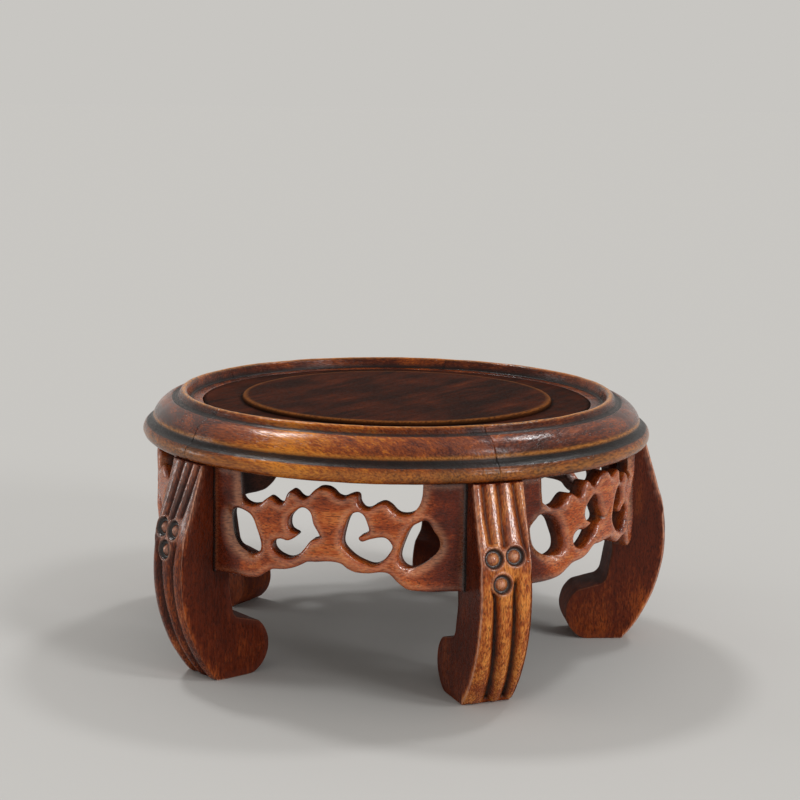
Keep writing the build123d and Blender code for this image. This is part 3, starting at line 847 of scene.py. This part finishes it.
right_comma += [(9.0, 13.6), (10.9, 14.3), (13.5, 15.0), (15.2, 14.8), (16.6, 13.2), (16.8, 12.0)]
right_comma += [(15.8, 10.1), (13.9, 8.1), (11.5, 7.4), (7.7, 8.8), (5.1, 10.8), (3.7, 12.7), (3.8, 15.2)]
lower_edge = [(-27.8, 0.3), (-24.0, 0.4), (-20.9, 1.1), (-18.3, 2.7), (-16.0, 3.9), (-12.2, 4.4), (-9.7, 5.2)]
lower_edge += [(-7.7, 6.3), (-6.0, 7.2), (-3.4, 7.3), (0.0, 7.5), (3.5, 7.3), (5.4, 6.1), (7.6, 5.2)]
lower_edge += [(10.2, 5.1), (13.3, 5.5), (15.4, 5.3), (16.7, 4.4), (18.0, 3.0), (19.8, 1.7), (21.6, 0.8), (25.0, 0.4)]
cloud_edge = [(-26.9, 25.5), (-26.6, 22.8), (-25.6, 21.3), (-23.2, 20.5), (-20.6, 21.1), (-19.1, 22.5)]
cloud_edge += [(-17.4, 23.6), (-15.9, 23.0), (-14.7, 22.2), (-13.4, 22.3), (-12.6, 23.4), (-12.0, 25.0)]
cloud_edge += [(-10.7, 26.2), (-9.4, 25.7), (-8.4, 24.7), (-7.1, 24.2), (-5.7, 25.2), (-4.3, 26.6), (-2.7, 27.5)]
cloud_edge += [(-0.6, 27.5), (0.9, 26.7), (2.0, 25.6), (3.6, 25.2), (5.0, 25.9), (6.6, 26.5), (7.8, 26.1)]
cloud_edge += [(8.1, 24.0), (9.2, 22.5), (10.8, 22.5), (12.6, 23.7), (14.3, 24.4), (15.9, 23.6), (17.4, 22.0)]
cloud_edge += [(19.1, 21.2), (21.3, 21.3), (22.8, 22.7), (23.7, 24.6), (24.1, 26.5)]
left_wall = [(-27.0, apron_rise), (-26.9, 25.5), (-26.3, 22.2)]
right_wall = [(24.3, apron_rise), (24.1, 26.5), (23.2, 23.4)]
# A short knife cut runs from the left comma's corner towards the right comma
knife_cut, knife_cut_width, knife_cut_depth = [(-2.2, 14.3), (0.2, 15.0), (1.4, 16.4)], 0.6, 0.5


def smooth_line(points, closed=True, steps=8):
    """A rounded curve through a few points."""
    before, after = ([points[-1]], points[:2]) if closed else (points[:1], points[-1:])
    whole = [np.array(p, float) for p in before + points + after]
    made = []
    for a, b, c, d in zip(whole, whole[1:], whole[2:], whole[3:]):
        for t in np.arange(steps) / steps:
            made.append(0.5 * (2 * b + (c - a) * t + (2 * a - 5 * b + 4 * c - d) * t**2 + (3 * b - a - 3 * c + d) * t**3))
    return made


def facing(points, loop, way):
    """How far points lie on one side of a hole's middle, from 0 to 1."""
    run = points - loop.mean(axis=0)
    return smooth_step(run @ np.array(way) / (np.hypot(*run.T) + 1e-9), -0.2, 0.6)


def beside_line(points, line, width):
    """1 on an open line, falling to 0 at a distance from it."""
    there_and_back = np.array(line + line[::-1], float)
    return np.clip(1 - edge_distance(points, [there_and_back]) / width, 0, 1)


board_edge = [(-apron_end, 0.0)] + smooth_line(lower_edge, closed=False) + [(apron_end, 0.0), (apron_end, apron_rise)]
board_edge += right_wall[:1] + smooth_line(cloud_edge, closed=False)[::-1] + left_wall[:1] + [(-apron_end, apron_rise)]
apron_wood = waxed_wood(
    "waxed_fretted_rosewood",
    ("#35120a", "#66240e", "#ae4d1b", "#d07638"),
    patina_hex="#100b0a",
    worn_and_highlight_hex="#cf8a5e",
    pore_hex="#240a05",
    fleck_share=0.8,
    pore_share=0.6,
    wax_level=0.26,
    wax_roughness=0.27,
)
for place in range(leg_count):
    middle = (place + 0.5) * leg_pitch
    hand = 1 if place % 2 == 0 else -1
    loops = []
    for shape in (board_edge, smooth_line(left_leaf), smooth_line(right_leaf), smooth_line(left_comma), smooth_line(right_comma)):
        loop = ease(np.array(shape), outline_step, outline_ease)
        clear_of_joints = 1 - smooth_step(np.abs(loop[:, 0]), fret_half - 2, fret_half + 3)
        clear_of_joints *= 1 - smooth_step(loop[:, 1], apron_rise - 3, apron_rise - 0.5)
        spots = np.column_stack([loop, np.zeros(len(loop))])
        shift = np.column_stack([uneven(spots, 6.0, place + 61), uneven(spots, 6.0, place + 67)])
        loops.append(loop + 0.3 * shift * clear_of_joints[:, None])
    sides = [1] + [-1] * (len(loops) - 1)
    rims = []
    for loop, way in zip(loops, sides):
        for offset in (0.07, 0.22, 0.45, 0.8, 1.2):
            rims.append(loop - way * offset * outward(loop))
    near_edge = np.vstack(rims)
    wanted = np.concatenate([np.full(len(rim), offset) for rim, offset in zip(rims, [0.07, 0.22, 0.45, 0.8, 1.2] * len(loops))])
    kept = inside(near_edge, loops) & (edge_distance(near_edge, loops) > 0.93 * wanted)
    middle_points = grid(loops, 0.7)
    middle_points = middle_points[inside(middle_points, loops)]
    middle_points = middle_points[edge_distance(middle_points, loops) > 1.4]
    inner = np.vstack([near_edge[kept], middle_points])
    triangles = fill(loops, inner)
    flat = np.vstack([*loops, inner])
    rim_count = sum(len(loop) for loop in loops)
    gap = edge_distance(flat, loops)
    gap[:rim_count] = 0.0
    roll = apron_roll_depth * (1 - np.sqrt(1 - np.clip(1 - gap / apron_roll, 0, 1) ** 2))
    at_end = smooth_step(np.abs(flat[:, 0]), apron_end - 1.6, apron_end - 0.4)
    at_top = smooth_step(flat[:, 1], apron_rise - 1.4, apron_rise - 0.3)
    roll = roll * (1 - np.maximum(at_end, at_top)) + 0.12 * np.maximum(at_end, at_top) * (gap < 0.3)
    bevel = np.zeros(len(flat))
    for leaf, way in ((loops[1], (-0.85, -0.53)), (loops[2], (0.85, -0.53))):
        share = np.clip(1 - edge_distance(flat, [leaf]) / leaf_bevel_width, 0, 1) ** 1.3
        bevel = np.maximum(bevel, leaf_bevel_depth * share * facing(flat, leaf, way))
    for wall in (left_wall, right_wall):
        bevel = np.maximum(bevel, wall_bevel_depth * beside_line(flat, wall, wall_bevel_width) ** 1.3)
    cut = knife_cut_depth * beside_line(flat, knife_cut, knife_cut_width)
    back_roll = np.clip(apron_back_roll - gap, 0, None) ** 2 / apron_back_roll
    lumps = 0.26 * uneven(np.column_stack([flat, np.zeros(len(flat))]), 5.5, place + 71)
    squeeze = np.where(
        np.abs(flat[:, 0]) > fret_half,
        fret_half + (np.abs(flat[:, 0]) - fret_half) * (apron_end_back - fret_half) / (apron_end - fret_half),
        np.abs(flat[:, 0]),
    ) * np.sign(flat[:, 0])
    sunk = np.maximum(roll, bevel) + cut - lumps
    front = np.column_stack([flat[:, 0], np.sqrt((apron_outer - sunk) ** 2 - flat[:, 0] ** 2), flat[:, 1]])
    back = np.column_stack([squeeze, np.sqrt((apron_inner + back_roll) ** 2 - squeeze**2), flat[:, 1]])
    faces = [tuple(int(i) for i in t) for t in triangles]
    faces += [tuple(int(i) + len(flat) for i in t[::-1]) for t in triangles]
    wall_shares = (0.25, 0.5, 0.75)
    walls = [front[:rim_count] * (1 - share) + back[:rim_count] * share for share in wall_shares]
    levels = [0] + [2 * len(flat) + k * rim_count for k in range(len(wall_shares))] + [len(flat)]
    start = 0
    for loop, way in zip(loops, sides):
        clockwise = np.sum(loop[:, 0] * np.roll(loop[:, 1], -1) - np.roll(loop[:, 0], -1) * loop[:, 1]) < 0
        for low, high in zip(levels[:-1], levels[1:]):
            for i in range(len(loop)):
                a, b = start + i, start + (i + 1) % len(loop)
                face = (low + b, low + a, high + a, high + b)
                faces.append(face if (way > 0) != clockwise else face[::-1])
        start += len(loop)
    if hand < 0:
        faces = [face[::-1] for face in faces]
    local = np.vstack([front, back, *walls]) * (hand, 1, 1)
    across, out = local[:, 0], local[:, 1]
    points = np.column_stack(
        [
            across * math.cos(middle) + out * math.sin(middle),
            across * math.sin(middle) - out * math.cos(middle),
            local[:, 2] + apron_base,
        ]
    )
    rub = 1 - smooth_step(np.abs(across), 22.0, 30.0)
    depth = apron_outer - np.hypot(across, out)
    on_walls = np.zeros(len(local) - len(flat))
    front_gap = np.concatenate([gap, on_walls])
    make_piece(
        f"apron_{place + 1}_fretted",
        points,
        faces,
        apron_wood,
        "apron_wood",
        [f"apron_{place + 1}"],
        board=np.column_stack([across, local[:, 2], out]) + np.array([1900.0 + 150.0 * place, 0, 0]),
        gold=0.27 + 0.41 * rub,
        patina=np.clip(
            0.38 * np.exp(-front_gap / 0.7)
            + 0.3 * smooth_step(depth, 2.2, 3.2)
            + 0.6 * smooth_step(np.abs(across), apron_end - 1.6, apron_end - 0.6)
            + np.concatenate([1.2 * cut, on_walls]),
            0,
            1,
        ),
        # A pale band along the rolled rims of the openings and on the bevels: wear, and painted highlights standing in
        # for glints.
        wear=np.clip(
            0.45 * np.exp(-(((front_gap - 1.3) / 0.6) ** 2)) * (0.4 + 0.6 * rub) + np.concatenate([0.3 * bevel, on_walls]), 0, 1
        ),
        polish=np.clip(
            np.exp(-(((front_gap - 0.7) / 0.9) ** 2)) + 0.15 * rub + np.concatenate([0.6 * bevel, on_walls]), 0, 1
        ),
        plain=0.45 * (1 - rub),
        dry=smooth_step(depth, 2.5, 4.0),
    )

# Hidden joinery. Loose tongues across the ring joints are planed from the same wood, unwaxed,
# and the pins are split bamboo, rounded through a plate, pale with fine straight fibres.
for prefix, name, light_hex, dark_hex, fibre_width in (
    ("ring_spline", "planed_rosewood", "#8a5a38", "#5c3520", 0.5),
    ("apron_pins", "split_bamboo", "#d2b27c", "#a07f4c", 0.25),
):
    material = bpy.data.materials.new(name)
    material.use_nodes = True
    tree = material.node_tree
    tree.nodes.clear()
    place_in_frame = add(tree, "ShaderNodeTexCoord").outputs["Object"]
    fibre = add(
        tree,
        "ShaderNodeMapping",
        {"Vector": place_in_frame, "Scale": (1 / (fibre_width * mm), 1 / (fibre_width * mm), 0.05 / (fibre_width * mm))},
    )
    lines = add(tree, "ShaderNodeTexNoise", {"Vector": fibre.outputs[0], "Scale": 1.0, "Detail": 3.0})
    tint = add(
        tree,
        "ShaderNodeMix",
        {"Factor": lines.outputs["Fac"], 6: linear(dark_hex), 7: linear(light_hex)},
        data_type="RGBA",
    )
    body = add(tree, "ShaderNodeBsdfPrincipled", {"Base Color": tint.outputs[2], "Roughness": 0.6, "IOR": 1.5})
    add(tree, "ShaderNodeOutputMaterial", {"Surface": body.outputs[0]})
    for node_name, node_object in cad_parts.items():
        if node_name.startswith(prefix):
            node_object.data.materials.clear()
            node_object.data.materials.append(material)
